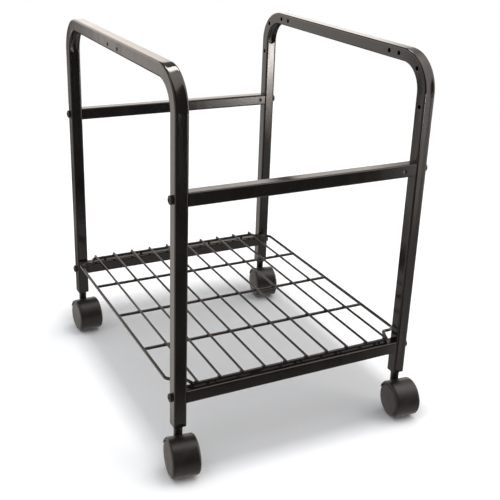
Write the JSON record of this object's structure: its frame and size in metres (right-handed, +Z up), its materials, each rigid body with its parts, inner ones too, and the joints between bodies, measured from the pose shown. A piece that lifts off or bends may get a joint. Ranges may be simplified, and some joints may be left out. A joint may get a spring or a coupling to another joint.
{
  "type": "mobile printer stand",
  "caption": "Open tubular steel stand on swivel casters: bent side frames, crossbars that carry a printer, and a wire shelf for paper below.",
  "frame": {"origin": "on the floor under the centre of the stand's bounding box; the side frames' own middle is 21 mm behind it, because the casters trail forward", "axes": "+Z up, +X to the right seen from the front, +Y from the front to the back"},
  "size_m": [0.4187, 0.5276, 0.5676],
  "materials": {
    "black_enamel": "glossy black baked enamel on steel tube",
    "wire_enamel": "glossy black enamel on steel wire, run together at the welds",
    "black_hardware": "black oxide bolts and washers, satin",
    "plug_steel": "plain turned steel",
    "bare_steel": "zinc plated steel pin",
    "hood_plastic": "moulded nylon with a fine satin grain",
    "wheel_plastic": "moulded nylon, smooth tread and face",
    "socket_plastic": "moulded black plastic insert"
  },
  "bodies": {
    "frame": {"frame_left": "black_enamel", "frame_right": "black_enamel", "upper_front_bar": "black_enamel", "upper_back_bar": "black_enamel", "lower_front_bar": "black_enamel", "lower_back_bar": "black_enamel", "bar_end_plugs": "plug_steel", "frame_bolts": "black_hardware", "lock_washers": "black_hardware", "shelf_left_rod": "wire_enamel", "shelf_right_rod": "wire_enamel", "shelf_front_rod": "wire_enamel", "shelf_back_rod": "wire_enamel", "shelf_cross_rod_front": "wire_enamel", "shelf_cross_rod_middle": "wire_enamel", "shelf_cross_rod_back": "wire_enamel", "shelf_deck_wire_1": "wire_enamel", "shelf_deck_wire_2": "wire_enamel", "shelf_deck_wire_3": "wire_enamel", "shelf_deck_wire_4": "wire_enamel", "shelf_deck_wire_5": "wire_enamel", "shelf_deck_wire_6": "wire_enamel", "shelf_deck_wire_7": "wire_enamel", "shelf_deck_wire_8": "wire_enamel", "shelf_deck_wire_9": "wire_enamel", "shelf_deck_wire_10": "wire_enamel", "grip_rings": "bare_steel", "caster_front_left_socket": "socket_plastic", "caster_front_left_stem": "bare_steel", "caster_front_right_socket": "socket_plastic", "caster_front_right_stem": "bare_steel", "caster_back_left_socket": "socket_plastic", "caster_back_left_stem": "bare_steel", "caster_back_right_socket": "socket_plastic", "caster_back_right_stem": "bare_steel"},
    "caster_front_left_swivel": {"caster_front_left_hood": "hood_plastic", "caster_front_left_axle": "bare_steel"},
    "caster_front_left_wheel_left": {"caster_front_left_wheel_left": "wheel_plastic"},
    "caster_front_left_wheel_right": {"caster_front_left_wheel_right": "wheel_plastic"},
    "caster_front_right_swivel": {"caster_front_right_hood": "hood_plastic", "caster_front_right_axle": "bare_steel"},
    "caster_front_right_wheel_left": {"caster_front_right_wheel_left": "wheel_plastic"},
    "caster_front_right_wheel_right": {"caster_front_right_wheel_right": "wheel_plastic"},
    "caster_back_left_swivel": {"caster_back_left_hood": "hood_plastic", "caster_back_left_axle": "bare_steel"},
    "caster_back_left_wheel_left": {"caster_back_left_wheel_left": "wheel_plastic"},
    "caster_back_left_wheel_right": {"caster_back_left_wheel_right": "wheel_plastic"},
    "caster_back_right_swivel": {"caster_back_right_hood": "hood_plastic", "caster_back_right_axle": "bare_steel"},
    "caster_back_right_wheel_left": {"caster_back_right_wheel_left": "wheel_plastic"},
    "caster_back_right_wheel_right": {"caster_back_right_wheel_right": "wheel_plastic"}
  },
  "joints": [
    {"name": "caster_front_left_swivel", "type": "hinge", "parent": "frame", "child": "caster_front_left_swivel", "pos_m": [-0.18585, -0.2126, 0.0619], "axis": [0, 0, 1], "continuous": true},
    {"name": "caster_front_left_roll_left", "type": "hinge", "parent": "caster_front_left_swivel", "child": "caster_front_left_wheel_left", "pos_m": [-0.1881, -0.23237, 0.0272], "axis": [0.9936, -0.1132, 0], "continuous": true},
    {"name": "caster_front_left_roll_right", "type": "hinge", "parent": "caster_front_left_swivel", "child": "caster_front_left_wheel_right", "pos_m": [-0.1881, -0.23237, 0.0272], "axis": [0.9936, -0.1132, 0], "continuous": true},
    {"name": "caster_front_right_swivel", "type": "hinge", "parent": "frame", "child": "caster_front_right_swivel", "pos_m": [0.18585, -0.2126, 0.0619], "axis": [0, 0, 1], "continuous": true},
    {"name": "caster_front_right_roll_left", "type": "hinge", "parent": "caster_front_right_swivel", "child": "caster_front_right_wheel_left", "pos_m": [0.18412, -0.23242, 0.0272], "axis": [0.9962, -0.0872, 0], "continuous": true},
    {"name": "caster_front_right_roll_right", "type": "hinge", "parent": "caster_front_right_swivel", "child": "caster_front_right_wheel_right", "pos_m": [0.18412, -0.23242, 0.0272], "axis": [0.9962, -0.0872, 0], "continuous": true},
    {"name": "caster_back_left_swivel", "type": "hinge", "parent": "frame", "child": "caster_back_left_swivel", "pos_m": [-0.18585, 0.2546, 0.0619], "axis": [0, 0, 1], "continuous": true},
    {"name": "caster_back_left_roll_left", "type": "hinge", "parent": "caster_back_left_swivel", "child": "caster_back_left_wheel_left", "pos_m": [-0.18481, 0.23473, 0.0272], "axis": [0.9986, 0.0523, 0], "continuous": true},
    {"name": "caster_back_left_roll_right", "type": "hinge", "parent": "caster_back_left_swivel", "child": "caster_back_left_wheel_right", "pos_m": [-0.18481, 0.23473, 0.0272], "axis": [0.9986, 0.0523, 0], "continuous": true},
    {"name": "caster_back_right_swivel", "type": "hinge", "parent": "frame", "child": "caster_back_right_swivel", "pos_m": [0.18585, 0.2546, 0.0619], "axis": [0, 0, 1], "continuous": true},
    {"name": "caster_back_right_roll_left", "type": "hinge", "parent": "caster_back_right_swivel", "child": "caster_back_right_wheel_left", "pos_m": [0.18308, 0.23489, 0.0272], "axis": [0.9903, -0.1392, 0], "continuous": true},
    {"name": "caster_back_right_roll_right", "type": "hinge", "parent": "caster_back_right_swivel", "child": "caster_back_right_wheel_right", "pos_m": [0.18308, 0.23489, 0.0272], "axis": [0.9903, -0.1392, 0], "continuous": true}
  ]
}
